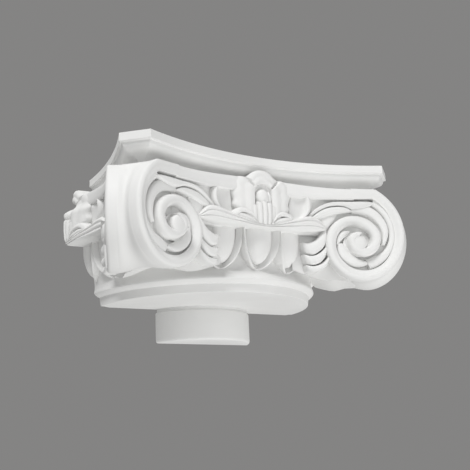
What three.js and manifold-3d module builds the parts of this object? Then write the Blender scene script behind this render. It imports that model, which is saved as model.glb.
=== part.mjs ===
// Angular Ionic half capital for a half column that stands against a wall.
// Millimetres, +Z up. The wall plane is y = 0 and the capital stands out towards -Y.
// z = 0 is the underside of the collar, where the column shaft begins.
import * as THREE from 'three';
import Module from 'manifold-3d';

// Abacus: a slab with concave sides and cut corners.
const abacusHalfWidth = 180;
const abacusDepth = 190;            // wall plane to the front corners
const cornerCutX = 25.5;            // how far each corner is cut along the front
const cornerCutY = 24.5;            // and along the side
const frontHollow = 34;             // how far the front bows in at its middle
const sideHollow = 28;
const abacusTop = 158;
const wallOverlap = 8;              // solids run this far past the wall plane before the cut
// Abacus moulding from the top down: [height below the top, set back from the fascia].
const abacusProfile = [
  [0, 0], [9.6, 0], [10.4, 3], [14.5, 3.6], [18, 5], [20.2, 7.2], [22.5, 10.5], [26, 13.5], [34, 15],
];

// The carved faces lie on a vertical surface that is concave in plan.
const faceHalfChord = 154.4;
const faceHollow = 34;
const faceRadius = (faceHalfChord ** 2 + faceHollow ** 2) / (2 * faceHollow);
const faceMiddle = 156;             // from the column's axis to the middle of a face
const sideSwell = 12;               // the two side faces stand this much further out at their middle
const swellReach = 95;
const floorDepth = 9;               // the carving's ground lies this far behind the bands
const sideLift = 8;                 // the side faces' flowers stand this much prouder
const sideLiftReach = 44;
const sideLiftTop = 121;

// Volutes: logarithmic spirals on the faces.
const voluteAlong = 122;            // from a face's middle line to the eye, along the face
const voluteHeight = 63;
const spiralTop = 70;               // radius straight above the eye
const spiralRate = 0.126;           // shrink per radian
const shoulderRise = 3.6;           // the spiral is this much fuller where it leaves the level rim
const shoulderFrom = 0.38;          // radians from the top, where the fullness starts to fade
const shoulderTo = 1.9;
const bandWidth = 12.5;
const eyeRise = 5.5;                // the eye stands out like a snail
const rimTop = 128;                 // top of the band that joins the two volutes
const rimBottom = 114.5;
const rollHollow = 5;               // waist of the smooth roll between two volutes
const rollInset = 1.2;              // the roll's skin lies this far inside the spiral
const rollBehind = -6.5;            // and starts this far behind the bands
const webBehind = -17;

// Drum: column collar and bell; [height, radius across, radius forward, how far it flattens].
// At full flattening its plan is a superellipse that draws in a little between front and side.
const flatPower = 1.88;
const drumSteps = 36;
const drumProfile = [
  [0, 127.5, 127.5, 1], [1.4, 137.6, 137.6, 1], [11.2, 139.4, 139.4, 1], [11.8, 141.2, 141.2, 1],
  [13.6, 144, 144, 1], [16.5, 146, 146, 1], [20, 145.4, 144, 1], [25, 145.2, 139.6, 1],
  [31, 146, 136.2, 1], [45, 147, 134, 0.5], [72, 147, 134, 0], [80, 146, 140, 0], [126, 146, 140, 0],
];

// Spigot: a segment of a circle whose centre lies behind the wall plane; [height, radius].
const spigotHalfWidth = 66;
const spigotForward = 49;
const spigotEnd = -42;
const spigotSteps = 28;
const spigotRadius = (spigotHalfWidth ** 2 + spigotForward ** 2) / (2 * spigotForward);
const spigotProfile = [
  [spigotEnd, spigotRadius - 2.4], [spigotEnd + 0.8, spigotRadius - 0.8], [spigotEnd + 2.6, spigotRadius],
  [-5, spigotRadius], [-3.8, spigotRadius - 2.2], [2, spigotRadius - 2.2],
];

// Egg ring.
const eggPitch = Math.PI / 10;      // twenty eggs would close the full circle
const eggSteps = [-5, -4, -1, 0, 1, 4, 5];      // the rest are hidden by the corner webs
const ringAcross = 146.5;           // the bell's radii behind the eggs
const ringForward = 138;
const ringMean = 148;               // mean radius of the eggs' middles
const eggTop = 77;
const eggTip = 33;
const eggHalfWidth = 18.5;
const eggRise = 13.5;
const shellWidth = 4.5;
const shellDrop = 7;                // the shell's point lies this far below the egg's
const shellRise = 8.5;

const wasm = await Module();
wasm.setup();

const degrees = Math.PI / 180;
const mix = (a, b, t) => a + (b - a) * t;
const clamp01 = (t) => Math.min(1, Math.max(0, t));

// A point on a carved face: s along it from its middle, z up, n out from the band surface.
function facePoint(face, s, z, n) {
  const angle = s / faceRadius;
  const near = clamp01(Math.abs(s) / swellReach);
  const swell = face === 'front' ? 0 : sideSwell * Math.cos(near * Math.PI / 2) ** 2;
  const reach = faceRadius - n - swell;
  const along = reach * Math.sin(angle);
  const out = faceMiddle + faceRadius - reach * Math.cos(angle);
  if (face === 'front') return [along, -out, z];
  return [face === 'left' ? -out : out, along, z];
}

// A point of the side faces' flower, which stands further out by a bell curve along the face.
function proudPoint(face, s, z, n) {
  const lift = face === 'front' ? 0 : sideLift * Math.exp(-((s / sideLiftReach) ** 2));
  const inside = clamp01((z - 64) / 16) * clamp01((sideLiftTop - z) / 12);
  return facePoint(face, s, z, n + lift * inside * clamp01((n + 13) / 10));
}

// A point on the egg ring: turn from the front's middle, z up, n out from the bell.
function ringPoint(turn, z, n) {
  return [(ringAcross + n) * Math.sin(turn), -(ringForward + n) * Math.cos(turn), z];
}

const smooth = (t) => clamp01(t) ** 2 * (3 - 2 * clamp01(t));

// Radius of the band's outer edge; the straight top band cuts the spiral's start off level.
function spiralRadius(turn) {
  const fullness = 1 - smooth((turn - shoulderFrom) / (shoulderTo - shoulderFrom));
  const spiral = spiralTop * Math.exp(-spiralRate * turn) + shoulderRise * fullness;
  return turn < Math.PI / 2 ? Math.min(spiral, (rimTop - voluteHeight) / Math.cos(turn)) : spiral;
}

// Point of a volute at a turn from its top outwards, a distance in from the band's outer edge.
function volutePoint(turn, inwards) {
  const r = spiralRadius(turn) - inwards;
  return [voluteAlong + r * Math.sin(turn), voluteHeight + r * Math.cos(turn)];
}

// Makes a solid of vertices and triangles, turned the right way out.
function solid(points, triangles) {
  let volume = 0;
  for (const [a, b, c] of triangles) {
    const [p, q, r] = [points[a], points[b], points[c]];
    volume += p[0] * (q[1] * r[2] - q[2] * r[1]) + p[1] * (q[2] * r[0] - q[0] * r[2])
      + p[2] * (q[0] * r[1] - q[1] * r[0]);
  }
  const turned = volume < 0 ? triangles.map(([a, b, c]) => [a, c, b]) : triangles;
  return new wasm.Manifold(new wasm.Mesh({
    numProp: 3,
    vertProperties: new Float32Array(points.flat()),
    triVerts: new Uint32Array(turned.flat()),
  }));
}

// Joins closed rings of equal length into a skin and closes both ends.
function loft(rings) {
  const count = rings[0].length;
  const points = rings.flat();
  const triangles = [];
  for (let i = 0; i + 1 < rings.length; i += 1) {
    for (let j = 0; j < count; j += 1) {
      const a = i * count + j;
      const b = i * count + (j + 1) % count;
      triangles.push([a, b, b + count], [a, b + count, a + count]);
    }
  }
  const ends = [[rings[0], 0, true], [rings.at(-1), points.length - count, false]];
  for (const [ring, first, flip] of ends) {
    for (const [a, b, c] of capTriangles(ring)) {
      triangles.push(flip ? [first + a, first + c, first + b] : [first + a, first + b, first + c]);
    }
  }
  return solid(points, triangles);
}

// Triangles that close a ring, found in the plane that it lies nearest to.
function capTriangles(ring) {
  const normal = new THREE.Vector3();
  ring.forEach((p, i) => {
    const q = ring[(i + 1) % ring.length];
    normal.x += (p[1] - q[1]) * (p[2] + q[2]);
    normal.y += (p[2] - q[2]) * (p[0] + q[0]);
    normal.z += (p[0] - q[0]) * (p[1] + q[1]);
  });
  normal.normalize();
  const across = new THREE.Vector3(1, 0, 0);
  if (Math.abs(normal.x) > 0.8) across.set(0, 1, 0);
  across.cross(normal).normalize();
  const up = new THREE.Vector3().crossVectors(normal, across);
  const flat = ring.map((p) => {
    const v = new THREE.Vector3(...p);
    return new THREE.Vector2(v.dot(across), v.dot(up));
  });
  return THREE.ShapeUtils.triangulateShape(flat, []);
}

// A leaf, petal or rib: path(t) gives [s, z, n], width(t) its full width, rise(t) its crown.
function leaf(place, path, width, rise, steps = 4, root = 12) {
  const rings = [];
  for (let i = 0; i <= steps; i += 1) {
    const t = i / steps;
    const [s, z, n] = path(t);
    const [sAhead, zAhead] = path(Math.min(1, t + 0.02));
    const [sBehind, zBehind] = path(Math.max(0, t - 0.02));
    const length = Math.hypot(sAhead - sBehind, zAhead - zBehind);
    const sideS = -(zAhead - zBehind) / length;
    const sideZ = (sAhead - sBehind) / length;
    const half = Math.max(0.4, width(t) / 2);
    const section = [[-1, -root], [-0.7, rise(t) * 0.7], [0.3, rise(t)], [1, -root]];
    rings.push(section.map(([across, up]) => (
      place(s + sideS * half * across, z + sideZ * half * across, n + up))));
  }
  return loft(rings);
}

// A curve through a start, one pull point and an end, each [s, z, n].
function bend(start, pull, end) {
  return (t) => start.map((value, k) => mix(mix(value, pull[k], t), mix(pull[k], end[k], t), t));
}

const lens = (full) => (t) => full * Math.sin(Math.PI * (0.12 + 0.86 * t)) ** 0.7;

// Plan outline of the abacus, set back by a distance, from the wall on the left to the right.
function abacusOutline(setBack, z) {
  const cutLength = Math.hypot(cornerCutX, cornerCutY);
  const [cutX, cutY] = [cornerCutY / cutLength, cornerCutX / cutLength];     // the cut corner's normal
  const cutReach = (abacusHalfWidth - cornerCutX) * cutX + abacusDepth * cutY;
  // Half of a hollow side as [along, out] points, from its middle to the cut corner.
  const half = (halfChord, hollow, reach, normalAlong, normalOut, steps) => {
    const radius = (halfChord ** 2 + hollow ** 2) / (2 * hollow);
    const centre = reach - hollow + radius;
    const end = Math.atan2(normalOut, normalAlong)
      + Math.asin((cutReach - setBack - normalOut * centre) / (radius + setBack));
    return Array.from({ length: steps + 1 }, (_, i) => {
      const angle = (end * i) / steps;
      return [(radius + setBack) * Math.sin(angle), centre - (radius + setBack) * Math.cos(angle)];
    });
  };
  const side = half(abacusDepth - cornerCutY, sideHollow, abacusHalfWidth, cutY, cutX, 5);
  const front = half(abacusHalfWidth - cornerCutX, frontHollow, abacusDepth, cutX, cutY, 9);
  const right = [...front.map(([along, out]) => [along, -out, z]),
    ...side.map(([along, out]) => [out, -along, z]).reverse(), [side[0][1], wallOverlap, z]];
  const left = right.slice(1).map(([x, y]) => [-x, y, z]).reverse();
  return [...left, ...right];
}

function abacus() {
  return loft(abacusProfile.map(([down, setBack]) => abacusOutline(setBack, abacusTop - down)));
}

// Rings of a round thing about an upright axis; radiusAt gives [across, forward] at a turn.
function roundRings(levels, count, centreOut, radiiAt) {
  return levels.map((level) => Array.from({ length: count }, (_, i) => {
    const turn = (i / count) * 2 * Math.PI;
    const [across, forward] = radiiAt(level, turn);
    return [across * Math.cos(turn), centreOut + forward * Math.sin(turn), level[0]];
  }));
}

function drum() {
  return loft(roundRings(drumProfile, drumSteps, 0, ([, across, forward, flatten], turn) => {
    const [a, b] = [Math.abs(Math.cos(turn)), Math.abs(Math.sin(turn))];
    const drawn = mix(1, (a ** flatPower + b ** flatPower) ** (-1 / flatPower), flatten);
    return [across * drawn, forward * drawn];
  }));
}

function spigot() {
  const centreOut = spigotRadius - spigotForward;
  return loft(roundRings(spigotProfile, spigotSteps, centreOut, ([, radius]) => [radius, radius]));
}

// The ground between the volutes of one face, and the plain band along its top.
function faceGround(face) {
  const last = face === 'front' ? voluteAlong - 1 : wallOverlap;
  const steps = face === 'front' ? 10 : 5;
  const rings = [];
  const ledges = [
    [-60, 72], [-floorDepth - 4, 72], [-floorDepth, 77], [-floorDepth, rimBottom],
    [0, rimBottom], [0, rimTop], [-60, rimTop],
  ];
  for (let i = 0; i <= steps; i += 1) {
    const s = mix(1 - voluteAlong, last, i / steps);
    rings.push(ledges.map(([n, z]) => facePoint(face, s, z, n)));
  }
  return loft(rings);
}

// The smooth roll at a corner, between the volute of the front and that of the side. Its top is
// level and straight; elsewhere a parabola draws it in towards the eye.
function cornerRoll(side) {
  const top = rimTop - rollInset / 2;
  const outline = [[voluteAlong - 34, top], [voluteAlong + 14, top]];
  for (let turn = 20; turn <= 268; turn += 17.7) outline.push(volutePoint(turn * degrees, rollInset));
  const rings = [0, 0.12, 0.5, 0.88, 1].map((t) => {
    const waist = rollHollow * 4 * t * (1 - t);
    return outline.map(([s, z]) => {
      const lean = Math.hypot(s - voluteAlong, z - voluteHeight);
      const drawIn = waist * smooth((top - z) / 9);
      const sIn = s - drawIn * (s - voluteAlong) / lean;
      const zIn = Math.min(top, z) - drawIn * (z - voluteHeight) / lean;
      const front = facePoint('front', side * sIn, zIn, rollBehind);
      const flank = facePoint(side < 0 ? 'left' : 'right', -sIn, zIn, rollBehind);
      return front.map((value, k) => mix(value, flank[k], t));
    });
  });
  return loft(rings);
}

// The web behind the palmette that ties a roll to the bell; its underside is nearly level.
function cornerWeb(side) {
  const outline = [[46, 126], [100, 126], [100, 20], [84, 21], [64, 24], [52, 27], [46, 31]];
  return loft([['front', side], [side < 0 ? 'left' : 'right', -1]].map(([face, sign]) => (
    outline.map(([s, z]) => facePoint(face, sign * s, z, webBehind)))));
}

// Width of the volute's band: even round the outer turn, then narrowing into the eye.
function bandWidthAt(turn) {
  const r = spiralRadius(turn);
  return Math.min(bandWidth, r * mix(0.42, 0.88, clamp01((turn - 11) / 4)));
}

function voluteBand(place) {
  const first = -4 * degrees;
  const last = 770 * degrees;
  const steps = 22;
  const rings = [];
  for (let i = 0; i <= steps; i += 1) {
    const turn = mix(first, last, i / steps);
    const width = bandWidthAt(turn);
    const crest = eyeRise * (turn / last) ** 2 + 0.4;
    const section = [[0, -12], [width * 0.1, crest], [width * 0.8, crest], [width, -12]];
    rings.push(section.map(([inwards, n]) => place(...volutePoint(turn, inwards), n)));
  }
  return loft(rings);
}

// The dome that closes the spiral.
function voluteEye(place) {
  const dome = [[9, -8], [9, 2], [7, 4.8], [3, 6.2]];
  const count = 9;
  return loft(dome.map(([radius, n]) => Array.from({ length: count }, (_, i) => {
    const turn = (i / count) * 2 * Math.PI;
    const s = voluteAlong + 1.5 + radius * Math.cos(turn);
    return place(s, voluteHeight - 1 + radius * Math.sin(turn), n);
  })));
}

// Leaves of half a face, from its middle to one volute.
function halfFaceLeaves(place) {
  const leaves = [
    // upper and lower scroll leaves, over the volute
    leaf(place, bend([60, 84, -7], [92, 121, -2], [144, 109, -4]), lens(11), () => 3.5, 5),
    leaf(place, bend([58, 80, -6], [88, 103, -1], [119, 100, -4]), lens(13), () => 3.5, 4),
    // bow leaf that lies along the tie
    leaf(place, bend([8, 73, -1], [48, 80, -3], [81, 81, -6]), (t) => mix(4, 19, t ** 0.7), () => 5, 4, 14),
    // broad back petal, its edge rolled over
    leaf(place, bend([12, 76, -6], [52, 86, -6], [60, 119, -7]), lens(25), () => 4, 4, 8),
    // side lobe of the flower
    leaf(place, bend([13, 84, -1], [30, 97, -1], [26, 129, -2]), lens(20), () => 5, 4, 14),
    // small leaf that curls over the tie
    leaf(place, bend([10, 76, 2], [34, 76, 3], [30, 92, 0]), lens(11), () => 4, 4, 16),
  ];
  const fingers = [
    [[84, 76], [81, 57], [56, 52]],
    [[84, 55], [81, 42], [59, 39]],
    [[86, 43], [80, 30], [63, 30]],
  ];
  for (const [start, pull, end] of fingers) {
    leaves.push(leaf(place, bend([...start, -9], [...pull, -7], [...end, -10]), lens(13), () => 4, 3, 12));
  }
  return leaves;
}

// Hood, bud and ribbed cup on a face's middle line.
function flower(place) {
  const hoodWidth = (t) => 34 * Math.sqrt(1 - 0.8 * t * t);
  const hood = leaf(place, bend([0, 126, -4], [0, 134, 4], [0, 141, -1]), hoodWidth, () => 4, 4, 14);
  const cup = leaf(place, bend([0, 70, 0], [0, 84, 5], [0, 100, 3]), (t) => mix(15, 26, t), () => 4, 4, 16);
  const knot = leaf(place, bend([-16, 73, -2], [0, 71, 1], [16, 73, -2]), () => 6, () => 3, 4, 12);
  const bud = leaf(place, bend([0, 98, 0], [0, 107, 6], [0, 115, 0]), lens(15), () => 4, 4, 12);
  return [hood, cup, knot, bud];
}

// One egg with its pointed shell.
function egg(turnAt) {
  const place = (across, z, n) => ringPoint(turnAt + across / ringMean, z, n);
  const rings = [];
  for (let i = 0; i <= 5; i += 1) {
    const t = i / 5;
    const half = eggHalfWidth * Math.max(0.03, 1 - t ** 2.6) ** 0.62;
    const rise = eggRise * Math.sin(Math.PI * (0.36 + 0.56 * t)) ** 0.8;
    const section = [[-1, -6], [-0.94, 0.55], [-0.5, 0.93], [0.5, 0.93], [0.94, 0.55], [1, -6]];
    rings.push(section.map(([across, up]) => (
      place(across * half, mix(eggTop, eggTip, t), up < 0 ? up : up * rise))));
  }
  const shell = [];
  for (let i = 0; i <= 6; i += 1) {
    const u = mix(-1, 1, i / 6);
    const depth = 1 - Math.abs(u) ** 1.25;
    const outer = Math.sign(u) * (eggHalfWidth + shellWidth) * Math.sqrt(Math.max(0, 1 - depth ** 2.6));
    const inner = Math.sign(u) * (eggHalfWidth - 1) * Math.sqrt(Math.max(0, 1 - depth ** 2.4));
    const z = mix(eggTop, eggTip - shellDrop, depth);
    const zInner = mix(eggTop, eggTip - 1, depth);
    shell.push([place(outer, z, -6), place(mix(outer, inner, 0.2), z, shellRise - 1),
      place(mix(outer, inner, 0.7), zInner, shellRise - 1.5), place(inner, zInner, -6)]);
  }
  return [loft(rings), loft(shell)];
}

function capital() {
  const solids = [abacus(), drum(), spigot(), cornerRoll(-1), cornerRoll(1), cornerWeb(-1), cornerWeb(1)];
  for (const face of ['front', 'left', 'right']) {
    solids.push(faceGround(face));
    solids.push(...flower((s, z, n) => proudPoint(face, s, z, n)));
    for (const side of face === 'front' ? [-1, 1] : [-1]) {
      const place = (s, z, n) => facePoint(face, side * s, z, n);
      const proud = (s, z, n) => proudPoint(face, side * s, z, n);
      solids.push(voluteBand(place), voluteEye(place), ...halfFaceLeaves(proud));
    }
  }
  for (const step of eggSteps) solids.push(...egg(step * eggPitch));
  const whole = wasm.Manifold.union(solids);
  const half = whole.trimByPlane([0, -1, 0], 0).decompose();
  return half.reduce((largest, body) => (body.volume() > largest.volume() ? body : largest));
}

function meshOf(name, manifold, material) {
  const { vertProperties, triVerts } = manifold.getMesh();
  const geometry = new THREE.BufferGeometry();
  geometry.setAttribute('position', new THREE.BufferAttribute(new Float32Array(vertProperties), 3));
  geometry.setIndex(new THREE.BufferAttribute(new Uint32Array(triVerts), 1));
  const mesh = new THREE.Mesh(geometry, material);
  mesh.name = name;
  return mesh;
}

const whitePlaster = new THREE.MeshStandardMaterial({ color: 0xe9e8e4, roughness: 0.62, metalness: 0 });

const group = new THREE.Group();
group.add(meshOf('capital', capital(), whitePlaster));

export default group;
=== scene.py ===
import math

import bmesh
import bpy
import numpy as np
from mathutils import Matrix, Vector


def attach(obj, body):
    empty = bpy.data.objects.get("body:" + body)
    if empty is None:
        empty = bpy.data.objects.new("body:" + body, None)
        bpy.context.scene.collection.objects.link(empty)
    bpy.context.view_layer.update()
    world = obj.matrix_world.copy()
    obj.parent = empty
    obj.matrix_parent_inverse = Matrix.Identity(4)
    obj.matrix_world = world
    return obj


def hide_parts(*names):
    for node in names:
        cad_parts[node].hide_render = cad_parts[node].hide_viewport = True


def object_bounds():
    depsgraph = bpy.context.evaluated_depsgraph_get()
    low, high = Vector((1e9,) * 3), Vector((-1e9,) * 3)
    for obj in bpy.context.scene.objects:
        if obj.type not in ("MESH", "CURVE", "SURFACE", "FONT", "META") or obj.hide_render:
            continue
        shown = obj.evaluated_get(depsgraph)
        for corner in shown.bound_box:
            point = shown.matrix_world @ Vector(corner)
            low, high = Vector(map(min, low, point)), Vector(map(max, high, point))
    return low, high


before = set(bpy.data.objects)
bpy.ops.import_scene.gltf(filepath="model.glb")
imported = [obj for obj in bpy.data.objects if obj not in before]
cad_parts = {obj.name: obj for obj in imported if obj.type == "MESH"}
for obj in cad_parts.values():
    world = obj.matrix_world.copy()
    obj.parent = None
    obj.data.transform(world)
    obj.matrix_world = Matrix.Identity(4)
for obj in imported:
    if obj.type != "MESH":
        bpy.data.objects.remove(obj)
cadLow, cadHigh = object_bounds()

# Lengths are in millimetres until a piece is made. The wall is y = 0, the capital stands out
# towards -Y, and z = 0 is the underside of the collar.
millimetre = 0.001
topHeight = cadHigh.z / millimetre
spigotEnd = cadLow.z / millimetre
print(f"frame loaded: {topHeight - spigotEnd:.1f} mm from the spigot's end to the abacus top")

# The carved faces lie on an upright surface that is hollow in plan.
face = {"halfChord": 154.4, "hollow": 34.0, "middle": 156.0, "sideSwell": 12.0, "swellReach": 95.0,
        "rimTop": 128.0}
face["radius"] = (face["halfChord"] ** 2 + face["hollow"] ** 2) / (2 * face["hollow"])

# The volutes are logarithmic spirals on the faces; turns are in radians from the top outwards.
volute = {"along": 122.0, "height": 63.0, "topRadius": 70.0, "shrink": 0.126, "eyeRise": 6.0,
          "shoulder": 3.6, "shoulderFrom": 0.38, "shoulderTo": 1.9,
          "belly": 0.12, "bellyAt": 7.6, "bellyWidth": 0.75,
          "drawIn": 0.26, "drawInFrom": 8.3, "drawInTo": 9.8,
          "band": 12.5, "bandShare": 0.43, "eyeShare": 0.30, "shareFrom": 7.2, "shareTo": 9.6}

wallGap = {"ground": 0.25, "flower": 0.4, "eggs": 0.7, "step": 0.02}   # short of the wall


def smoothstep(value, low, high):
    # 0 below low, 1 above high, and a smooth cubic between
    t = np.clip((value - low) / (high - low), 0, 1)
    return t * t * (3 - 2 * t)


def superellipse(reach, power):
    # 1 where reach is 0, falling to 0 where it is 1 or -1; power 2 is a circle's rule
    return np.sqrt(np.clip(1 - np.abs(reach) ** power, 0, 1))


def narrowing(depth, curve, thinnest=0):
    # 1 where depth is 0, falling towards 0 where it is 1, by a power of what a power leaves
    return np.clip(1 - depth ** curve[0], thinnest, 1) ** curve[1]


def facePlace(name, side=1):
    # s runs along the face from its middle, z up, n out from the bands: an arc about a point in
    # front of the face, which the two side faces pull nearer at their middle by a raised cosine
    def place(s, z, n):
        s, z, n = np.broadcast_arrays(np.asarray(s, float), z, n)
        near = np.clip(np.abs(s) / face["swellReach"], 0, 1)
        swell = 0 if name == "front" else face["sideSwell"] * np.cos(near * math.pi / 2) ** 2
        reach = face["radius"] - n - swell
        along = reach * np.sin(side * s / face["radius"])
        out = face["middle"] + face["radius"] - reach * np.cos(s / face["radius"])
        if name == "front":
            return np.stack([along, -out, z], -1)
        return np.stack([-out if name == "left" else out, along, z], -1)
    return place


def acrossCorner(side, s, z, out, t):
    # one outline on the front face and on the side face, joined by straight lines
    frontPoints = facePlace("front", side)(s, z, out)
    sidePoints = facePlace("left" if side < 0 else "right")(-s, z, out)
    return frontPoints * (1 - t) + sidePoints * t


def spiralRadius(turn):
    # exponential spiral from the top outwards, a little fuller at its shoulder and where its second
    # turn passes the side, drawn in under the eye, and cut off level where it meets the rim
    fullness = 1 - smoothstep(turn, volute["shoulderFrom"], volute["shoulderTo"])
    spiral = volute["topRadius"] * np.exp(-volute["shrink"] * turn) + volute["shoulder"] * fullness
    belly = volute["belly"] * np.exp(-((turn - volute["bellyAt"]) / volute["bellyWidth"]) ** 2)
    drawIn = volute["drawIn"] * smoothstep(turn, volute["drawInFrom"], volute["drawInTo"])
    spiral = spiral * (1 + belly - drawIn)
    level = (face["rimTop"] - volute["height"]) / np.maximum(np.cos(turn), 1e-3)
    return np.where(turn < math.pi / 2, np.minimum(spiral, level), spiral)


def bandWidth(turn):
    # even round the outer turn, then a share of the radius that grows into the eye
    growth = smoothstep(turn, volute["shareFrom"], volute["shareTo"])
    share = volute["bandShare"] + volute["eyeShare"] * growth
    return np.minimum(volute["band"], spiralRadius(turn) * share)


def polar(turn, radius):
    # s and z of a point at a turn and radius about the volute's eye
    return volute["along"] + radius * np.sin(turn), volute["height"] + radius * np.cos(turn)


def smoothCurve(points, count):
    # Catmull-Rom: a cubic through each point whose slope there is half the step between its neighbours
    p = np.asarray(points, float)
    p = p.reshape(len(p), -1)
    p = np.vstack([2 * p[0] - p[1], p, 2 * p[-1] - p[-2]])
    t = np.linspace(0, len(points) - 1, count)
    i = np.minimum(t.astype(int), len(points) - 2)
    f = (t - i)[:, None]
    a, b, c, d = p[i], p[i + 1], p[i + 2], p[i + 3]
    cubic = (2 * b + (c - a) * f + (2 * a - 5 * b + 4 * c - d) * f ** 2
             + (3 * b - a - 3 * c + d) * f ** 3) / 2
    return cubic[:, 0] if np.ndim(points[0]) == 0 else cubic


def closedShell(points):
    # rings of points joined into a skin, with a fan from each end ring's mean; turned outwards by
    # the sign of the volume
    rings, around = points.shape[:2]
    vertices = np.vstack([points.reshape(-1, 3), points[0].mean(0), points[-1].mean(0)])
    i = np.arange(rings - 1)[:, None] * around
    j = np.arange(around)[None, :]
    k = (j + 1) % around
    quads = np.stack([i + j, i + k, i + around + k, i + around + j], -1).reshape(-1, 4)
    last = (rings - 1) * around
    j, k = j[0], k[0]
    first = np.stack([k, j, np.full(around, rings * around)], -1)
    end = np.stack([last + j, last + k, np.full(around, rings * around + 1)], -1)
    triangles = np.vstack([first, end])
    a, b, c, d = (vertices[quads[:, n]] for n in range(4))
    volume = np.einsum("ij,ij", a, np.cross(b, c)) + np.einsum("ij,ij", a, np.cross(c, d))
    a, b, c = (vertices[triangles[:, n]] for n in range(3))
    volume += np.einsum("ij,ij", a, np.cross(b, c))
    if volume < 0:
        quads, triangles = quads[:, ::-1], triangles[:, ::-1]
    return vertices, quads.tolist() + triangles.tolist()


def closedBehind(arcs):
    # rings that run from the wall round the front and back to it, closed by straight lines along it
    t = np.linspace(0, 1, 16)[1:-1, None]
    back = arcs[:, -1:] * (1 - t) + arcs[:, :1] * t
    return closedShell(np.concatenate([arcs, back], 1))


def relief(place, s, z, n, root):
    # a carved surface over a grid along and across; both long edges drop to the root behind it
    deep = np.broadcast_to(root, (len(s), 1))
    s = np.hstack([s[:, :1], s, s[:, -1:]])
    z = np.hstack([z[:, :1], z, z[:, -1:]])
    n = np.hstack([deep, n, deep])
    return closedShell(place(s, z, n))


def cutAtWall(shell, setBack):
    # what passes the wall plane is cut off flat, and the cut is closed
    vertices, faces = shell
    if vertices[:, 1].max() <= -setBack:
        return shell
    mesh = bpy.data.meshes.new("cutting")
    mesh.from_pydata(vertices.tolist(), [], faces)
    work = bmesh.new()
    work.from_mesh(mesh)
    bpy.data.meshes.remove(mesh)
    everything = work.verts[:] + work.edges[:] + work.faces[:]
    cut = bmesh.ops.bisect_plane(work, geom=everything, plane_co=(0, -setBack, 0), plane_no=(0, 1, 0),
                                 dist=1e-4, clear_outer=True)
    edges = [e for e in cut["geom_cut"] if isinstance(e, bmesh.types.BMEdge)]
    bmesh.ops.triangle_fill(work, use_beauty=True, edges=edges, normal=(0, 1, 0))
    bmesh.ops.recalc_face_normals(work, faces=work.faces)
    work.verts.index_update()
    vertices = np.array([v.co for v in work.verts])
    faces = [[v.index for v in f.verts] for f in work.faces]
    work.free()
    return vertices, faces


def makePiece(name, shells, material, sharpAngle=42):
    # joins shells into one object in metres
    points, polygons, offset = [], [], 0
    for vertices, faces in shells:
        points.append(vertices)
        polygons += [[offset + v for v in f] for f in faces]
        offset += len(vertices)
    mesh = bpy.data.meshes.new(name)
    mesh.from_pydata((np.vstack(points) * millimetre).tolist(), [], polygons)
    mesh.polygons.foreach_set("use_smooth", np.ones(len(polygons), bool))
    mesh.set_sharp_from_angle(angle=math.radians(sharpAngle))
    mesh.materials.append(material)
    mesh.update()
    piece = bpy.data.objects.new(name, mesh)
    bpy.context.scene.collection.objects.link(piece)
    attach(piece, "root")
    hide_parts("capital")
    triangles = sum(len(p) - 2 for p in polygons)
    print(f"{name}: {len(shells)} shells, {triangles} triangles")


castFinish = {"white": (0.80, 0.80, 0.79), "shade": (0.765, 0.765, 0.755), "clouds": 14.0,
              "cloudLow": 0.35, "cloudHigh": 0.65, "roughness": 0.58, "roughnessSpread": 0.05,
              "grain": 900.0, "orangePeel": 260.0, "grainShare": 0.35, "bump": 0.06, "bumpDepth": 0.001,
              "specular": 0.4}


def whiteCast():
    # matte white primer: two near whites mixed by soft noise, roughness by finer noise, and a
    # faint orange-peel bump with grain on it
    material = bpy.data.materials.new("whiteCast")
    material.use_nodes = True
    nodes, links = material.node_tree.nodes, material.node_tree.links
    shader = nodes["Principled BSDF"]
    place = nodes.new("ShaderNodeTexCoord")

    def noise(scale, detail):
        node = nodes.new("ShaderNodeTexNoise")
        node.inputs["Scale"].default_value = scale
        node.inputs["Detail"].default_value = detail
        links.new(place.outputs["Object"], node.inputs["Vector"])
        return node

    clouds = noise(castFinish["clouds"], 4)
    peel = noise(castFinish["orangePeel"], 2)
    grain = noise(castFinish["grain"], 3)
    tint = nodes.new("ShaderNodeMix")
    tint.data_type = "RGBA"
    tint.inputs["A"].default_value = (*castFinish["shade"], 1)
    tint.inputs["B"].default_value = (*castFinish["white"], 1)
    contrast = nodes.new("ShaderNodeMapRange")
    contrast.inputs["From Min"].default_value = castFinish["cloudLow"]
    contrast.inputs["From Max"].default_value = castFinish["cloudHigh"]
    links.new(clouds.outputs["Fac"], contrast.inputs["Value"])
    links.new(contrast.outputs["Result"], tint.inputs["Factor"])
    links.new(tint.outputs["Result"], shader.inputs["Base Color"])
    sheen = nodes.new("ShaderNodeMapRange")
    sheen.inputs["To Min"].default_value = castFinish["roughness"] - castFinish["roughnessSpread"]
    sheen.inputs["To Max"].default_value = castFinish["roughness"] + castFinish["roughnessSpread"]
    links.new(grain.outputs["Fac"], sheen.inputs["Value"])
    links.new(sheen.outputs["Result"], shader.inputs["Roughness"])
    bumps = nodes.new("ShaderNodeMath")
    bumps.operation = "MULTIPLY_ADD"
    bumps.inputs[1].default_value = castFinish["grainShare"]
    links.new(grain.outputs["Fac"], bumps.inputs[0])
    links.new(peel.outputs["Fac"], bumps.inputs[2])
    bump = nodes.new("ShaderNodeBump")
    bump.inputs["Strength"].default_value = castFinish["bump"]
    bump.inputs["Distance"].default_value = castFinish["bumpDepth"]
    links.new(bumps.outputs["Value"], bump.inputs["Height"])
    links.new(bump.outputs["Normal"], shader.inputs["Normal"])
    shader.inputs["Specular IOR Level"].default_value = castFinish["specular"]
    return material


whiteFinish = whiteCast()
print("finish made")


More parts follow.
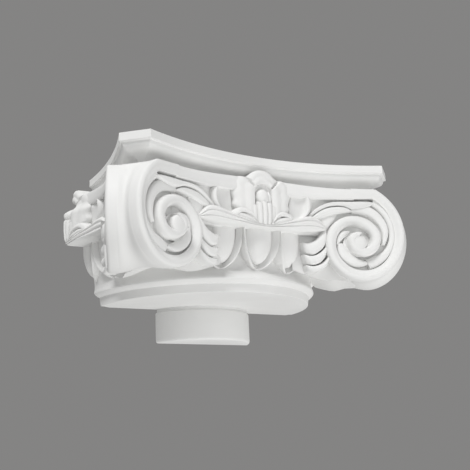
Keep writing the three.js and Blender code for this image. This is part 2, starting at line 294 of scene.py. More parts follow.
abacus = {"halfWidth": 180.0, "depth": 190.0, "cutX": 25.5, "cutY": 24.5, "frontHollow": 34.0,
          "sideHollow": 28.0}
# the moulding from the top down: [below the top, set back from the fascia]
abacusMoulding = {"fascia": [[0, 0.7], [0.7, 0], [9.2, 0], [9.8, 0.6]],
                  "step": [[10.1, 2.4], [10.7, 3.1], [12.8, 3.4]],
                  "bead": [[14.2, 4.1], [15.6, 5.1], [16.8, 6.4], [17.8, 8.0], [18.5, 9.6]],
                  "cove": [[19.4, 12.0], [20.8, 14.8], [22.8, 17.4], [25.4, 19.4], [29.0, 20.8],
                           [34.0, 21.6]]}


def abacusOutline(setBack):
    # each side is an arc moved in by the set-back, which ends on the corner's cut, moved in alike
    cutLength = math.hypot(abacus["cutX"], abacus["cutY"])
    cutX, cutY = abacus["cutY"] / cutLength, abacus["cutX"] / cutLength
    cutReach = (abacus["halfWidth"] - abacus["cutX"]) * cutX + abacus["depth"] * cutY

    def halfSide(halfChord, hollow, reach, normalAlong, normalOut, steps):
        radius = (halfChord ** 2 + hollow ** 2) / (2 * hollow)
        centre = reach - hollow + radius
        toCut = cutReach - setBack - normalOut * centre
        end = math.atan2(normalOut, normalAlong) + math.asin(toCut / (radius + setBack))
        angle = np.linspace(0, end, steps)
        return (radius + setBack) * np.sin(angle), centre - (radius + setBack) * np.cos(angle)

    frontAlong, frontOut = halfSide(abacus["halfWidth"] - abacus["cutX"], abacus["frontHollow"],
                                    abacus["depth"], cutX, cutY, 48)
    sideAlong, sideOut = halfSide(abacus["depth"] - abacus["cutY"], abacus["sideHollow"],
                                  abacus["halfWidth"], cutY, cutX, 32)
    corner = np.linspace([frontAlong[-1], -frontOut[-1]], [sideOut[-1], -sideAlong[-1]], 8)[1:-1]
    right = np.vstack([np.stack([frontAlong, -frontOut], -1), corner,
                       np.stack([sideOut, -sideAlong], -1)[::-1]])
    left = right[1:] * [-1, 1]
    back = np.linspace(right[-1], left[-1], 24)[1:-1]
    return np.vstack([right, back, left[::-1]])


def abacusShell():
    # the moulding's profile carried round the outline
    rings = []
    for down, setBack in np.vstack(list(abacusMoulding.values())):
        outline = abacusOutline(setBack)
        rings.append(np.column_stack([outline, np.full(len(outline), topHeight - down)]))
    return closedShell(np.array(rings))


makePiece("abacus", [abacusShell()], whiteFinish, 28)


drum = {"flatPower": 1.88, "underRadius": 127.5, "top": 124.0}
# [height, radius across, radius forward, how far the plan is flattened between front and side]
drumProfile = [
    [0, drum["underRadius"] - 1, drum["underRadius"] - 1, 1],
    [0.2, drum["underRadius"] + 0.6, drum["underRadius"] + 0.6, 1],
    [0.9, 132.5, 132.5, 1], [1.1, 137.0, 137.0, 1], [1.7, 137.8, 137.8, 1], [6, 138.5, 138.5, 1],
    [10.8, 139.2, 139.2, 1], [11.2, 139.6, 139.6, 1], [11.6, 141.0, 141.0, 1], [12.4, 142.2, 142.2, 1],
    [13.4, 143.6, 143.6, 1], [14.6, 145.0, 145.0, 1], [15.8, 145.8, 145.8, 1], [17.2, 145.9, 145.9, 1],
    [18.6, 145.6, 145.2, 1], [20, 145.4, 144.0, 1], [22.5, 145.3, 141.4, 1], [25, 145.2, 139.4, 1],
    [28, 145.5, 137.4, 1], [31, 146, 136.0, 1], [37, 146.5, 134.6, 0.8], [45, 147, 134.0, 0.5],
    [72, 147, 134, 0], [80, 146, 140, 0], [95, 146, 140, 0], [drum["top"], 146, 140, 0]]


def drumShell():
    # half ellipses about the axis, drawn in between front and side by a superellipse's rule
    z, across, forward, flatten = np.array(drumProfile).T
    turn = np.linspace(-math.pi / 2, math.pi / 2, 121)
    power = drum["flatPower"]
    drawn = (np.abs(np.sin(turn)) ** power + np.abs(np.cos(turn)) ** power) ** (-1 / power)
    drawn = 1 + flatten[:, None] * (drawn - 1)
    arcs = np.stack([across[:, None] * drawn * np.sin(turn), -forward[:, None] * drawn * np.cos(turn),
                     np.broadcast_to(z[:, None], drawn.shape)], -1)
    return closedBehind(arcs)


spigot = {"halfWidth": 66.0, "forward": 49.0}
# [height, set in from the spigot's radius], from the end up; a shallow neck meets the collar
spigotProfile = [[0, 2.6], [0.4, 1.4], [1.1, 0.6], [2.4, 0.1], [4.0, 0.0], [36.2, 0.0], [37.0, 0.4],
                 [37.5, 1.6], [37.9, 2.2], [43, 2.2]]


def spigotShell():
    # a segment of a circle whose centre lies behind the wall, with a slightly rounded end
    radius = (spigot["halfWidth"] ** 2 + spigot["forward"] ** 2) / (2 * spigot["forward"])
    height, setIn = np.array(spigotProfile).T
    behind = radius - spigot["forward"]
    t = np.linspace(-1, 1, 73)[None, :]
    reach = (radius - setIn)[:, None]
    turn = t * np.arccos(behind / reach)
    arcs = np.stack([reach * np.sin(turn), behind - reach * np.cos(turn),
                     np.broadcast_to(spigotEnd + height[:, None], turn.shape)], -1)
    return closedBehind(arcs)


makePiece("bellAndCollar", [drumShell(), spigotShell()], whiteFinish, 28)


ledge = {"foot": 72.0, "floor": -9.0, "deep": -60.0, "rimBottom": 114.5, "underTop": 0.06,
         "middleRise": 4.0, "riseReach": 118.0}


def groundShell(name):
    # a ledge section carried along the face, from volute to volute or to the wall; its top edge
    # rises a little towards the middle by a raised cosine
    end = volute["along"] - 1 if name == "front" else 0.0
    s = np.linspace(1 - volute["along"], end, 90)
    foot, floor, deep, rimLow = (ledge[key] for key in ("foot", "floor", "deep", "rimBottom"))
    rimTop = face["rimTop"] - ledge["underTop"]
    # out from the face and height, from the foot up over the rim to the level top
    section = np.array([
        [deep, foot], [floor - 4, foot], [floor - 1.5, foot + 2.5], [floor, foot + 6], [floor, foot + 23],
        [floor, rimLow - 1.4], [floor + 0.4, rimLow - 0.5], [-1.6, rimLow], [-0.6, rimLow + 0.3],
        [0, rimLow + 1.2], [0.25, rimLow + 4], [0.25, rimTop - 5], [0, rimTop - 1.5],
        [-0.7, rimTop - 0.4], [-1.8, rimTop], [deep, rimTop]])
    n, z = section.T
    near = np.abs(s) < ledge["riseReach"]
    middleRise = ledge["middleRise"] * np.cos(s / ledge["riseReach"] * math.pi / 2) ** 2 * near
    heights = z + middleRise[:, None] * smoothstep(z, rimLow - 2, rimTop - 5)
    points = facePlace(name)(s[:, None], heights, n[None, :])
    return cutAtWall(closedShell(points), wallGap["ground"])


roll = {"from": 20, "to": 268, "inset": 0.05, "behind": -11.5, "flat": 34.0, "hollow": 3.6,
        "levelFade": 9.0}


def rollShell(side):
    # the volute's outline, carried straight from the front face to the side face; below its level
    # top it is drawn in towards the eye by a sine's square, so that its waist is the narrowest
    turn = np.radians(np.linspace(roll["from"], roll["to"], 140))
    s, z = polar(turn, spiralRadius(turn) - roll["inset"])
    top = face["rimTop"] - roll["inset"] / 2
    flat = np.linspace(volute["along"] - roll["flat"], s[0] - 3, 14)
    inner = np.linspace([s[-1], z[-1]], [flat[0], top], 12)[1:-1]
    s = np.concatenate([flat, s, inner[:, 0]])
    z = np.minimum(np.concatenate([np.full(len(flat), top), z, inner[:, 1]]), top)
    t = np.linspace(0, 1, 26)
    lean = np.hypot(s - volute["along"], z - volute["height"])
    waist = (roll["hollow"] * np.sin(math.pi * t) ** 2)[:, None]
    drawIn = waist * smoothstep(top - z, 0, roll["levelFade"])
    sIn = s - drawIn * (s - volute["along"]) / lean
    zIn = z - drawIn * (z - volute["height"]) / lean
    return closedShell(acrossCorner(side, sIn, zIn, roll["behind"], t[:, None, None]))


web = {"behind": -20.5, "rise": 9.0, "fadeFrom": 34.0, "fadeTo": 56.0}
# [along, height] of the web's section, whose underside is nearly level
webOutline = [[46, 126], [112, 126], [112, 60], [116, 17.6], [108, 18.6], [100, 19.6], [92, 18.9],
              [84, 18.8], [76, 20.6], [64, 24.5], [54, 28], [46, 31], [46, 60]]


def webShell(side):
    # ties a roll to the bell behind the palmette; its underside is drawn up in the middle by a
    # sine's square, with the roll's waist
    s, z = np.array(webOutline).T
    t = np.linspace(0, 1, 15)[:, None, None]
    points = acrossCorner(side, s, z, web["behind"], t)
    low = 1 - smoothstep(z, web["fadeFrom"], web["fadeTo"])
    points[..., 2] += web["rise"] * np.sin(math.pi * t[..., 0]) ** 2 * low
    return closedShell(points)


makePiece("grounds", [groundShell(name) for name in ("front", "left", "right")], whiteFinish, 30)
makePiece("cornerRolls", [rollShell(-1), rollShell(1)], whiteFinish, 30)
makePiece("cornerWebs", [webShell(-1), webShell(1)], whiteFinish, 30)


# the volute's band: its ends are in degrees and its other turns in radians; the foot, rise and fall
# of its bead and of its roll are out from the face
bandForm = {"firstTurn": -4, "lastTurn": 742, "taperFrom": 12.2, "taperTo": 12.95, "thinnest": 0.0004,
            "startOut": 0.25, "startFrom": -0.1, "startTo": 0.9, "rollFrom": 3.4, "rollTo": 6.6,
            "beadFoot": -3.6, "beadRise": 4.0, "beadWidth": 0.5, "beadFall": 3.4, "beadFallFrom": 0.35,
            "rollFoot": -5.0, "rollRise": 5.6, "rollFall": 1.5, "rollFallFrom": 0.5, "fallFrom": 6.0,
            "fallTo": 7.4, "climbFrom": 5.0, "climbTo": 12.0, "power": 2.4, "root": -12.5}


def bandShell(place):
    # a band along the spiral: its section is a low bead that leans inwards on the outer turn and
    # rounds up into a roll towards the eye, each turn standing a little higher than the last
    form = bandForm
    turn = np.radians(np.linspace(form["firstTurn"], form["lastTurn"], 360))[:, None]
    across = np.linspace(0, 1, 21)[None, :]
    taper = smoothstep(turn, form["taperFrom"], form["taperTo"])
    width = bandWidth(turn) * np.sqrt(np.clip(1 - taper ** 2, form["thinnest"], 1))
    s, z = polar(turn, spiralRadius(turn) - width * across)
    bead = superellipse(1 - np.minimum(across / form["beadWidth"], 1), form["power"])
    fall = smoothstep(across, form["beadFallFrom"], 1)
    outer = form["beadFoot"] + form["beadRise"] * bead - form["beadFall"] * fall
    start = smoothstep(turn, form["startFrom"], form["startTo"])
    outer = form["startOut"] * (1 - start) + outer * start
    crown = superellipse(2 * across - 1, form["power"])
    fall = smoothstep(across, form["rollFallFrom"], 1)
    fall = fall * (1 - smoothstep(turn, form["fallFrom"], form["fallTo"]))
    roller = form["rollFoot"] + form["rollRise"] * crown - form["rollFall"] * fall
    climb = volute["eyeRise"] * smoothstep(turn, form["climbFrom"], form["climbTo"])
    inwards = smoothstep(turn, form["rollFrom"], form["rollTo"])
    n = outer * (1 - inwards) + (roller + climb) * inwards
    return relief(place, s, z, n, form["root"])


eye = {"radius": 11.0, "along": 1.4, "down": 2.5, "edge": 1.2, "power": 2.4, "edgeShare": 0.999,
       "floorRadius": 15.0, "floor": -6.0, "root": -9.0}


def eyeShell(place):
    # a low dome over the end of the spiral, on a round floor
    radius = np.linspace(eye["radius"], 0.3, 18)[:, None]
    turn = np.linspace(0, 2 * math.pi, 49)[None, :-1]
    s = volute["along"] - eye["along"] + radius * np.sin(turn)
    z = volute["height"] - eye["down"] + radius * np.cos(turn)
    dome = np.sqrt(1 - (radius / eye["radius"]) ** eye["power"] * eye["edgeShare"])
    n = eye["edge"] + (volute["eyeRise"] - eye["edge"]) * dome + 0 * turn
    reach = eye["floorRadius"] / eye["radius"]
    floorS = volute["along"] + (s[:1] - volute["along"]) * reach
    floorZ = volute["height"] + (z[:1] - volute["height"]) * reach
    rings = [place(floorS, floorZ, eye["root"]), place(floorS, floorZ, eye["floor"]),
             place(s[:1], z[:1], eye["floor"]), place(s, z, n)]
    return closedShell(np.concatenate(rings))


sheathForm = {"steps": 60, "arch": 3, "power": 2.2, "lean": 0, "root": -13.0}


def sheathShell(place, sheath):
    # a strip in the channel between two turns of the band: its edges are shares of the channel's
    # width, and its section is a low arch that may lean to one side
    sheath = {**sheathForm, **sheath}
    steps = sheath["steps"]
    turn = np.radians(np.linspace(sheath["from"], sheath["to"], steps))
    outer = spiralRadius(turn) - bandWidth(turn)
    inner = spiralRadius(turn + 2 * math.pi)
    first = outer + (inner - outer) * smoothCurve(sheath["outerEdge"], steps)
    last = outer + (inner - outer) * smoothCurve(sheath["innerEdge"], steps)
    across = np.linspace(0, 1, 15)[None, :]
    s, z = polar(turn[:, None], first[:, None] * (1 - across) + last[:, None] * across)
    height = smoothCurve(sheath["height"], steps)[:, None]
    arch = superellipse(2 * across - 1, sheath["power"])
    n = height - sheath["arch"] + sheath["arch"] * arch + sheath["lean"] * (across - 0.5)
    return relief(place, s, z, n, sheath["root"])


# from and to in degrees of the volute's turn
sheaths = [
    # ridge beside the band, that broadens below into a leaf
    {"from": 25, "to": 157, "outerEdge": [-0.08, -0.08, -0.07, -0.04, 0.04, 0.06],
     "innerEdge": [0.26, 0.27, 0.34, 0.5, 0.84, 0.8], "height": [-4.6, -4.2, -3.8, -3.3, -3.0, -4.0],
     "lean": -1.0},
    # ridge inside it
    {"from": -6, "to": 97, "outerEdge": [0.34, 0.34, 0.32, 0.36, 0.62],
     "innerEdge": [0.84, 0.82, 0.8, 0.84, 0.9], "height": [-4.5, -3.6, -3.0, -2.4, -3.2], "lean": 0.8},
    # leaf under the eye
    {"from": 158, "to": 264, "outerEdge": [0.4, 0.2, 0.12, 0.08, 0.22],
     "innerEdge": [0.7, 0.84, 0.86, 0.86, 0.7], "height": [-4.0, -2.8, -2.6, -2.6, -3.6], "lean": -1.0},
    # small leaf that climbs beyond it
    {"from": 262, "to": 326, "outerEdge": [0.1, 0.06, 0.1, 0.5],
     "innerEdge": [0.3, 0.66, 0.84, 0.82], "height": [-5.0, -3.4, -3.0, -4.4]}]


# what a strip has unless its own entry says otherwise; notches are [where along, how wide, how deep]
stripForm = {"tip": 0.2, "flat": 2.6, "ridges": 1, "sharp": 0.7, "furrow": 0, "dish": 0,
             "roll": 0, "rollAt": 0.86, "rollWidth": 0.11, "lean": 0, "notches": [], "back": -13.0}


def stripShell(place, strip, along=56, across=27):
    # a surface between two smooth edge curves; across it the height follows a rounded crown, with
    # furrows where a rectified sine is zero, a dish by a parabola, a roll by a bell curve and a
    # straight lean, and it sinks towards its tip by a circle's rule; notches are bell curves along it
    strip = {**stripForm, **strip}
    first, last = smoothCurve(strip["first"], along), smoothCurve(strip["last"], along)
    t = np.linspace(0, 1, along)[:, None]
    v = np.linspace(0, 1, across)[None, :]
    edgeToEdge = first[:, None, :] * (1 - v[..., None]) + last[:, None, :] * v[..., None]
    s, z, n = edgeToEdge[..., 0], edgeToEdge[..., 1], edgeToEdge[..., 2]
    close = superellipse(np.clip((t - 1 + strip["tip"]) / strip["tip"], 0, 1), 2)
    crown = superellipse(2 * v - 1, strip["flat"])
    furrows = 1 - np.abs(np.sin(math.pi * strip["ridges"] * v)) ** strip["sharp"]
    furrows = furrows * smoothstep(v, 0.02, 0.14) * smoothstep(-v, -0.98, -0.86)   # none at the edges
    n = n + (strip["rise"] * crown - strip["furrow"] * furrows) * close
    n = n - strip["dish"] * (1 - (2 * v - 1) ** 2) * close
    n = n + strip["roll"] * np.exp(-((v - strip["rollAt"]) / strip["rollWidth"]) ** 2) * close
    n = n + strip["lean"] * (v - 0.5) * close
    edgeFade = smoothstep(v, 0.0, 0.25) * smoothstep(-v, -1.0, -0.6)
    for at, wide, deep in strip["notches"]:
        n = n - deep * np.exp(-((t - at) / wide) ** 2) * edgeFade
    return relief(place, s, z, n, strip["back"])


# edges as [along the face, height, out] for the leaves of one half face
leaves = [
    # upper and lower scroll leaves, that run over the volute
    {"first": [[58, 80, -9], [70, 95, -7], [86, 104.5, -5], [98, 107, -4], [108, 106.6, -4],
               [118, 103.4, -4.5], [130, 103.8, -5], [141, 107.2, -6], [147, 110.8, -7]],
     "last": [[54, 86, -9], [68, 99, -7], [78, 106, -5], [88, 110, -4], [99, 111.8, -3.5],
              [113, 112.2, -3.5], [128, 112.8, -4], [140, 112.8, -5.5], [147, 111.8, -7]],
     "rise": 3.4, "tip": 0.08, "lean": 1.6},
    {"first": [[62, 78, -9], [73, 87.5, -7], [84, 92.5, -6], [96, 96, -5], [107, 98, -4.5],
               [119.5, 100, -6]],
     "last": [[58, 82, -9], [70, 94.5, -7], [84, 103.2, -5.5], [97, 106, -5], [109, 105.6, -5],
              [119.5, 101.2, -6]],
     "rise": 4.0, "tip": 0.14, "ridges": 2, "furrow": 0.5, "sharp": 1.0},
    # web of leaf between the bow leaf's end and the volute
    {"first": [[70, 93, -8], [76, 86, -8], [80, 74, -9]],
     "last": [[100, 97, -7], [95, 88.5, -7], [81.5, 74, -9]],
     "rise": 2.4, "tip": 0.2, "lean": 1.5},
    # bow leaf that lies along the tie
    {"first": [[-1, 72.2, 3.0], [16, 72.6, 3.0], [34, 72.8, 1], [52, 73.2, -1], [68, 74.2, -3.5],
               [85, 76.5, -6]],
     "last": [[-1, 76.8, 3.0], [18, 78.4, 2.6], [36, 84.5, 0.5], [50, 89, -1.5], [62, 92.4, -3],
              [74, 91, -4.5], [86, 79, -7]],
     "rise": 4.6, "tip": 0.08, "ridges": 3, "furrow": 2.4, "sharp": 0.75, "flat": 3.0, "lean": -0.4},
    # broad petal behind, dished, with its outer edge rolled over
    {"first": [[14, 73, -8], [28, 80, -8], [36, 90, -8], [38, 103, -7], [41, 117, -5]],
     "last": [[22, 74, -6], [42, 83.5, -5], [56, 89, -5], [64.5, 98, -5], [66.5, 109, -4.5],
              [61, 120.5, -4.5]],
     "rise": 2.6, "dish": 3.0, "roll": 3.4, "tip": 0.05, "flat": 6.0},
    # small leaf that curls over the tie: its lower lip and its arched upper lip
    {"first": [[8, 74, 1], [22, 75.5, 1.5], [34, 78.5, 0], [41, 83, -2]],
     "last": [[9, 78.5, 2], [19, 84.5, 2], [29, 87.5, 0.5], [38, 86.5, -2]],
     "rise": 4.2, "tip": 0.2, "ridges": 2, "furrow": 1.1},
    {"first": [[11, 79, 2], [18, 85.5, 1.5], [27, 88, 0.5], [33, 86, 0], [36, 81, -1]],
     "last": [[12, 82, 2], [17, 90.5, 1], [28, 94.5, -1], [38, 91, -2], [42, 82, -3]],
     "rise": 4.4, "tip": 0.16, "lean": -0.8}]

# the palmette's fingers spring from the volute, sweep down and end blunt
fingers = [
    {"first": [[86, 78, -10], [85.5, 67, -8.5], [81.5, 57.5, -8], [75, 51, -8], [67, 47, -8.5],
               [58.5, 49, -9.5]],
     "last": [[82, 78, -10], [77.5, 71.5, -8.5], [73, 66, -8], [67, 62.5, -8], [61, 61, -8.5],
              [54, 61.5, -9.5]]},
    {"first": [[86, 58, -10], [82.5, 46, -8.5], [77, 38.8, -8], [71, 35.6, -8], [65, 34.6, -8.5],
               [59, 36.5, -9.5]],
     "last": [[84, 58, -10], [79.5, 53, -8.5], [74, 48.6, -8], [68, 46.2, -8.5], [62, 46, -9],
              [56, 47.5, -9.5]]},
    {"first": [[88, 45, -10], [83, 34, -8.5], [76, 28.5, -8.5], [70, 26.6, -9], [65, 26, -9.5],
               [60, 27.5, -10]],
     "last": [[86, 45, -10], [80, 39, -8.5], [74.5, 35.6, -8.5], [69, 34, -9], [64, 33.6, -9.5],
              [58, 34.8, -10]]}]

fingerForm = {"rise": 4.8, "tip": 0.16, "flat": 2.2, "lean": -0.6, "back": -20.0}


# the flower's crown of petals round its throat, from the stem to the hood's middle
petals = {
    "first": [[11, 75, 0.5], [11.4, 83, 1], [11.4, 90, 1.2], [11.2, 97, 1.4], [10.8, 103, 1.4],
              [10.8, 108, 1.6], [11.2, 113, 2.2], [11.0, 117, 2.4], [9.6, 120, 2.4], [5.6, 123.2, 2.6],
              [0, 124.4, 2.8]],
    "last": [[16, 78, -1], [26, 88, -3], [36.8, 97, -4.5], [36.6, 105, -4.5], [39.6, 113, -4.5],
             [37.2, 119.5, -4], [38, 126.5, -4], [30.5, 132, -3], [19.5, 132.6, -1.5],
             [10, 139.6, -0.5], [0, 142.2, -0.5]],
    "rise": 4.4, "tip": 0.02, "flat": 3.4, "ridges": 2, "furrow": 0.9, "sharp": 1.2, "back": -14.0,
    "notches": [[0.3815, 0.0115, 8.5], [0.6185, 0.0115, 8.5]]}

# shallow bowl behind the bud
throat = {"first": [[-14, 80, -6], [-14, 100, -6], [-12, 121, -5]],
          "last": [[14, 80, -6], [14, 100, -6], [12, 121, -5]],
          "rise": 3.0, "dish": 4.0, "tip": 0.1, "flat": 6.0}

bud = {"centre": (-0.4, 109.2, -1.5), "radius": 9.1, "tipLift": 1.1, "pole": 0.06}

# one small petal beside the bud, on the front face only
budPetal = {"first": [[9.5, 101, 1], [11.2, 109, 1.5], [8, 117, 0.5]],
            "last": [[4.5, 101, 2], [4.6, 109, 2.5], [7, 117, 1]], "rise": 2.8, "tip": 0.3}

# ribs of the cup that holds the bud; each rib stands lower and further back than its inner neighbour
cup = {"bottom": 73.0, "top": 103.6, "topFall": 1.0, "bottomStep": 5.6, "topStep": 6.4, "bottomHalf": 3.0,
       "topHalf": 3.5, "out": 4.4, "tuck": 1.5, "fallBack": 0.8, "ribs": 2}
cupRibForm = {"rise": 3.4, "tip": 0.12, "flat": 2.2, "back": -10.0}


def mirrored(points):
    # the same curve carried on over the face's middle line
    return points + [[-s, z, n] for s, z, n in points[-2::-1]]


def budShell(place):
    # a ball, drawn out a little upwards
    tilt = np.linspace(bud["pole"], math.pi - bud["pole"], 22)[:, None]
    turn = np.linspace(0, 2 * math.pi, 33)[None, :-1]
    s, z, n = bud["centre"]
    reach = bud["radius"]
    points = place(s + reach * np.sin(tilt) * np.cos(turn),
                   z + bud["tipLift"] * reach * np.sin(tilt) * np.sin(turn),
                   n + reach * np.cos(tilt) + 0 * turn)
    return closedShell(points)


def cupRib(number):
    # one rib as a strip that widens upwards, from its foot through a middle point to its top
    top = cup["top"] - cup["topFall"] * number ** 2
    out = cup["out"] - cup["fallBack"] * number ** 2
    low, high = cup["bottomStep"] * number, cup["topStep"] * number
    middle, half = (low + 2 * high) / 3, (cup["bottomHalf"] + 2 * cup["topHalf"]) / 3
    height = (cup["bottom"] + 1.2 * top) / 2.2

    def edge(way):
        return [[low + way * cup["bottomHalf"], cup["bottom"], out - cup["tuck"]],
                [middle + way * half, height, out], [high + way * cup["topHalf"], top, out]]

    return {**cupRibForm, "first": edge(-1), "last": edge(1)}


sideFlower = {"lift": 9.0, "reach": 44.0, "behind": -13, "infront": -3,
              "bottom": 64.0, "bottomFade": 16, "top": 121.0, "topFade": 12}


def proudPlace(place):
    # on the side faces the flower stands further out, by a bell curve about the face's middle that
    # fades behind it, above it and below it
    def proud(s, z, n):
        lift = sideFlower["lift"] * np.exp(-(s / sideFlower["reach"]) ** 2)
        lift = lift * smoothstep(n, sideFlower["behind"], sideFlower["infront"])
        lift = lift * smoothstep(z, sideFlower["bottom"], sideFlower["bottom"] + sideFlower["bottomFade"])
        lift = lift * (1 - smoothstep(z, sideFlower["top"] - sideFlower["topFade"], sideFlower["top"]))
        return place(s, z, n + lift)
    return proud


def flowerShells(place, name):
    # petals, throat, bud and ribbed cup on the face's middle line
    whole = {**petals, "first": mirrored(petals["first"]), "last": mirrored(petals["last"])}
    shells = [stripShell(place, whole, 170, 27), stripShell(place, throat, 20, 21), budShell(place)]
    shells += [stripShell(place, cupRib(number), 36, 13) for number in range(-cup["ribs"], cup["ribs"] + 1)]
    if name == "front":
        shells.append(stripShell(place, budPetal, 30, 15))
    return shells


def faceShells(name):
    # everything carved on one face, apart from the egg ring; a side face is half a front
    halves = (-1, 1) if name == "front" else (-1,)
    bands, foliage = [], []
    for side in halves:
        place = facePlace(name, side)
        bands += [bandShell(place), eyeShell(place)]
        bands += [sheathShell(place, sheath) for sheath in sheaths]
        place = place if name == "front" else proudPlace(place)
        foliage += [stripShell(place, leaf) for leaf in leaves]
        foliage += [stripShell(place, {**fingerForm, **finger}) for finger in fingers]
    place = facePlace(name)
    foliage += flowerShells(place if name == "front" else proudPlace(place), name)
    foliage = [cutAtWall(shell, wallGap["flower"] + wallGap["step"] * number)
               for number, shell in enumerate(foliage)]
    return bands, [shell for shell in foliage if len(shell[0])]


for name in ("front", "left", "right"):
    bands, foliage = faceShells(name)
    makePiece(name + "Volutes", bands, whiteFinish)
    makePiece(name + "Foliage", foliage, whiteFinish)


ring = {"across": 146.5, "forward": 140.5, "middle": 148.0, "pitch": math.pi / 10,
        "steps": (-5, -4, -1, 0, 1, 4, 5), "root": -9.0}
egg = {"top": 77.0, "tip": 33.5, "halfWidth": 19.2, "curve": (2.8, 0.6), "thinnest": 0.0004,
       "rise": 13.6, "lowest": -4.5, "level": 0.2, "edgeRise": 2.0, "edgeFoot": -4.0, "round": 2.2}
eggShell = {"tip": 26.5, "half": 23.2, "rise": 13.6, "overlap": 1.5, "arch": 1.2,
            "outerCurve": (3.0, 0.6), "innerCurve": (2.4, 0.62), "crestCurve": (3.2, 0.7),
            "crestAt": 0.82, "dish": 7.0, "dishPower": 1.2, "drop": 2.2, "dropFrom": 0.84}


def ringPlace(turnAt):
    # along the egg ring: an ellipse about the axis, n out from the bell
    def place(across, z, n):
        turn = turnAt + across / ring["middle"]
        z = np.broadcast_to(z, np.shape(turn))
        along, out = (ring["across"] + n) * np.sin(turn), (ring["forward"] + n) * np.cos(turn)
        return np.stack([along, -out, z], -1)
    return place


def eggBody(place):
    # an egg in the half round: its section is a superellipse, its width narrows to a point, and its
    # front is level above and falls to the tip by a superellipse's rule
    t = np.linspace(0, 1, 44)[:, None]
    across = np.linspace(-1, 1, 29)[None, :]
    half = egg["halfWidth"] * narrowing(t, egg["curve"], egg["thinnest"])
    z = egg["top"] + (egg["tip"] - egg["top"]) * t + 0 * across
    fall = np.clip(t - egg["level"], 0, 1) / (1 - egg["level"])
    body = egg["lowest"] + (egg["rise"] - egg["lowest"]) * superellipse(fall, egg["round"])
    low = egg["edgeRise"] * (1 - t ** 2) + egg["edgeFoot"]
    n = low + (body - low) * superellipse(across, egg["round"])
    return relief(place, half * across, z, n, ring["root"])


def eggBowl(place):
    # a bowl round the egg whose rim runs in an arch from the top to a point below; it slopes up
    # from the egg to a crest and drops behind it
    u = np.linspace(-1, 1, 101)[:, None]
    w = np.linspace(0, 1, 19)[None, :]
    depth = 1 - np.abs(u) ** eggShell["arch"]
    outer = np.sign(u) * eggShell["half"] * narrowing(depth, eggShell["outerCurve"])
    innerHalf = egg["halfWidth"] - eggShell["overlap"]
    inner = np.sign(u) * innerHalf * narrowing(depth, eggShell["innerCurve"])
    zOuter = egg["top"] + (eggShell["tip"] - egg["top"]) * depth
    zInner = egg["top"] + (egg["tip"] + eggShell["overlap"] - egg["top"]) * depth
    foot = egg["lowest"] + eggShell["overlap"]
    crest = foot + (eggShell["rise"] - foot) * narrowing(depth, eggShell["crestCurve"])
    slope = (1 - np.clip(w / eggShell["crestAt"], 0, 1)) ** eggShell["dishPower"]
    n = crest - eggShell["dish"] * slope - eggShell["drop"] * smoothstep(w, eggShell["dropFrom"], 1.0)
    return relief(place, inner + (outer - inner) * w, zInner + (zOuter - zInner) * w, n, ring["root"])


eggs = []
for number, step in enumerate(ring["steps"]):
    place = ringPlace(step * ring["pitch"])
    setBack = wallGap["eggs"] + wallGap["step"] * number
    eggs += [cutAtWall(eggBody(place), setBack), cutAtWall(eggBowl(place), setBack)]
makePiece("eggRing", eggs, whiteFinish)


studio = {"floor": -2.4, "floorSize": 4.0, "floorColour": (0.62, 0.62, 0.61), "floorRoughness": 0.9,
          "grey": 0.232, "ambient": 0.41, "lampsAimAt": (0, -0.1, 0.06)}


def makeFloor():
    mesh = bpy.data.meshes.new("floor")
    h = studio["floorSize"]
    z = studio["floor"]
    mesh.from_pydata([(-h, -h, z), (h, -h, z), (h, h, z), (-h, h, z)], [], [(0, 1, 2, 3)])
    material = bpy.data.materials.new("paleFloor")
    material.use_nodes = True
    shader = material.node_tree.nodes["Principled BSDF"]
    shader.inputs["Base Color"].default_value = (*studio["floorColour"], 1)
    shader.inputs["Roughness"].default_value = studio["floorRoughness"]
    mesh.materials.append(material)
    floor = bpy.data.objects.new("floor", mesh)
    bpy.context.scene.collection.objects.link(floor)


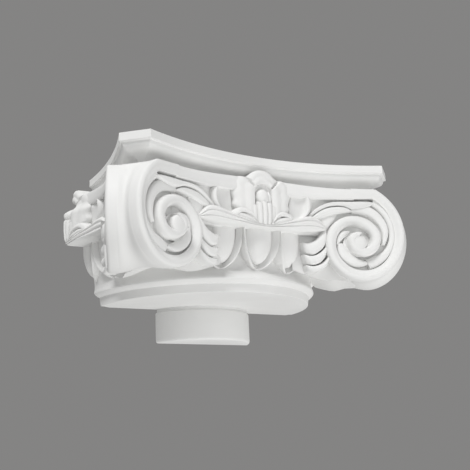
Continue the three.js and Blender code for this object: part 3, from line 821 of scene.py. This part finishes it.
def makeWorld():
    # the camera sees a plain grey, and the object is lit by a paler one
    world = bpy.data.worlds.new("studio")
    world.use_nodes = True
    nodes, links = world.node_tree.nodes, world.node_tree.links
    seen = nodes["Background"]
    grey = studio["grey"]
    seen.inputs["Color"].default_value = (grey, grey * 0.99, grey * 0.98, 1)
    lit = nodes.new("ShaderNodeBackground")
    lit.inputs["Color"].default_value = (1, 1, 1, 1)
    lit.inputs["Strength"].default_value = studio["ambient"]
    path = nodes.new("ShaderNodeLightPath")
    mix = nodes.new("ShaderNodeMixShader")
    links.new(path.outputs["Is Camera Ray"], mix.inputs["Fac"])
    links.new(lit.outputs["Background"], mix.inputs[1])
    links.new(seen.outputs["Background"], mix.inputs[2])
    links.new(mix.outputs["Shader"], nodes["World Output"].inputs["Surface"])
    bpy.context.scene.world = world


lamps = {
    "keyLight": {"from": (-1.7, -1.4, 2.6), "size": 1.0, "power": 72},
    "fillLight": {"from": (0.2, -2.6, 0.2), "size": 1.4, "power": 6},
    "lowLight": {"from": (0.3, -1.2, -1.7), "size": 1.8, "power": 29},
    "backLight": {"from": (0.5, 2.2, 1.6), "size": 1.6, "power": 6}}


def makeLamp(name, lamp):
    light = bpy.data.lights.new(name, "AREA")
    light.size = lamp["size"]
    light.energy = lamp["power"]
    holder = bpy.data.objects.new(name, light)
    holder.location = lamp["from"]
    aim = Vector(studio["lampsAimAt"]) - holder.location
    holder.rotation_euler = aim.to_track_quat("-Z", "Y").to_euler()
    bpy.context.scene.collection.objects.link(holder)


# the camera looks up from the left: turned about the axis, tilted, then rolled a little
cameraSet = {"azimuth": 0.53, "elevation": -0.241, "roll": -0.042, "distance": 1.1081,
             "target": (0.0531, 0.0, 0.1058), "lens": 63.14, "sensor": 36}


def makeCamera():
    camera = bpy.data.objects.new("camera", bpy.data.cameras.new("camera"))
    camera.data.lens = cameraSet["lens"]
    camera.data.sensor_width = cameraSet["sensor"]
    azimuth, elevation, tilt = (cameraSet[key] for key in ("azimuth", "elevation", "roll"))
    forward = Vector((math.sin(azimuth) * math.cos(elevation), math.cos(azimuth) * math.cos(elevation),
                      -math.sin(elevation)))
    right = forward.cross(Vector((0, 0, 1))).normalized()
    up = right.cross(forward)
    across = right * math.cos(tilt) + up * math.sin(tilt)
    upright = up * math.cos(tilt) - right * math.sin(tilt)
    turned = Matrix((across, upright, -forward)).transposed()
    place = Vector(cameraSet["target"]) - forward * cameraSet["distance"]
    camera.matrix_world = Matrix.Translation(place) @ turned.to_4x4()
    bpy.context.scene.collection.objects.link(camera)
    bpy.context.scene.camera = camera


makeFloor()
makeWorld()
for name, lamp in lamps.items():
    makeLamp(name, lamp)
makeCamera()
bpy.context.scene.view_settings.view_transform = "Standard"
print("studio made")
